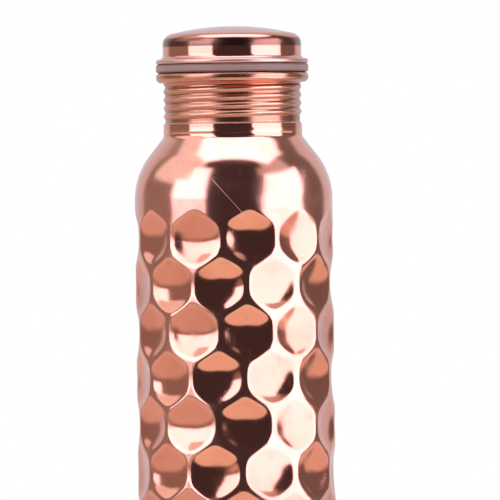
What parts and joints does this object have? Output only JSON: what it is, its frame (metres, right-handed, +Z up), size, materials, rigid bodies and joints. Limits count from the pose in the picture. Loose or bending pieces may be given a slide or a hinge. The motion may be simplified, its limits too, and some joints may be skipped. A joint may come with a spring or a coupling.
{
  "type": "water bottle",
  "caption": "Hammered copper water bottle with a threaded neck and a screw cap sealed by a silicone gasket.",
  "frame": {"origin": "centre of the foot, on the plane that the bottle stands on", "axes": "+Z up along the bottle's axis towards the cap, -Y towards the front, +X to the right"},
  "size_m": [0.074, 0.074, 0.265],
  "materials": {
    "hammered_copper": "polished copper, hammered into dimples, with fine handling marks",
    "spun_copper": "polished copper, spun, with faint turning lines",
    "braze_filler": "dull brazing filler",
    "silicone": "matte translucent grey-brown silicone"
  },
  "bodies": {
    "bottle": {"body_shell": "hammered_copper", "base_cup": "spun_copper", "base_braze_ring": "braze_filler", "neck_ring": "spun_copper", "neck_braze_ring": "braze_filler"},
    "gasket": {"cap_gasket": "silicone"},
    "cap": {"cap_dome": "spun_copper", "cap_plug_shell": "spun_copper", "cap_plug_disc": "spun_copper", "cap_plug_braze_ring": "braze_filler"}
  },
  "joints": [
    {"name": "cap_lift", "type": "slide", "parent": "bottle", "child": "gasket", "axis": [0, 0, 1], "range_m": [0, 0.0155]},
    {"name": "cap_turn", "type": "hinge", "parent": "gasket", "child": "cap", "pos_m": [0, 0, 0.2508], "axis": [0, 0, 1], "range_deg": [0, 1800]}
  ],
  "couplings": [
    {"joint": "cap_lift", "follows": "cap_turn", "m_per_rad": 0.00049338}
  ]
}
